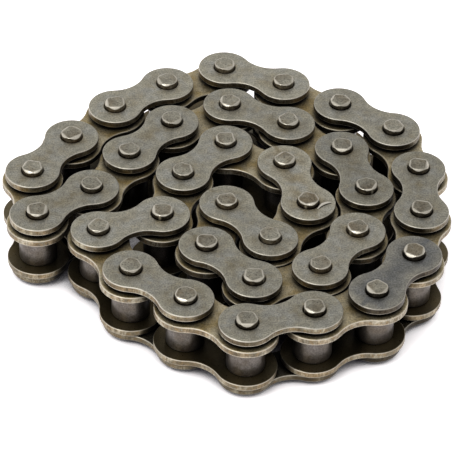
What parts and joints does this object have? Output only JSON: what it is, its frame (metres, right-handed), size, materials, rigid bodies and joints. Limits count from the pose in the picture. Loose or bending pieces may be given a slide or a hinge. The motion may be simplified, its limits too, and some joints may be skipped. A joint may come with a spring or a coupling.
{
  "type": "roller chain",
  "caption": "Closed loop of simplex roller chain, folded double and coiled flat, lying on its side with upright pins.",
  "frame": {"origin": "middle of the coil's outline, at the level that the lower pin ends rest on", "axes": "+Z along the upright pins, +X to the picture's right, +Y away from the camera"},
  "size_m": [0.085, 0.0872, 0.0151],
  "materials": {
    "outer_link_steel": "matt grey steel, lightly oiled, with bright worn rims",
    "inner_link_steel": "grey steel with a brown film of oil, smooth grey rollers",
    "dark_link_steel": "darker bluish grey steel, satin"
  },
  "bodies": {
    "root": {"inner_link_01": "inner_link_steel", "outer_link_01": "outer_link_steel", "inner_link_02": "inner_link_steel", "outer_link_02": "outer_link_steel", "inner_link_03": "inner_link_steel", "outer_link_03": "outer_link_steel", "inner_link_04": "inner_link_steel", "outer_link_04": "outer_link_steel", "inner_link_05": "inner_link_steel", "outer_link_05": "outer_link_steel", "inner_link_06": "inner_link_steel", "outer_link_06": "outer_link_steel", "inner_link_07": "inner_link_steel", "outer_link_07": "outer_link_steel", "inner_link_08": "inner_link_steel", "outer_link_08": "outer_link_steel", "inner_link_09": "inner_link_steel", "outer_link_09": "outer_link_steel", "inner_link_10": "inner_link_steel", "outer_link_10": "outer_link_steel", "inner_link_11": "inner_link_steel", "outer_link_11": "outer_link_steel", "inner_link_12": "inner_link_steel", "outer_link_12": "outer_link_steel", "inner_link_13": "inner_link_steel", "outer_link_13": "dark_link_steel", "inner_link_14": "inner_link_steel", "outer_link_14": "outer_link_steel", "inner_link_15": "inner_link_steel", "outer_link_15": "outer_link_steel", "inner_link_16": "inner_link_steel", "outer_link_16": "outer_link_steel", "inner_link_17": "inner_link_steel", "outer_link_17": "outer_link_steel", "inner_link_18": "inner_link_steel", "outer_link_18": "outer_link_steel"}
  },
  "joints": []
}
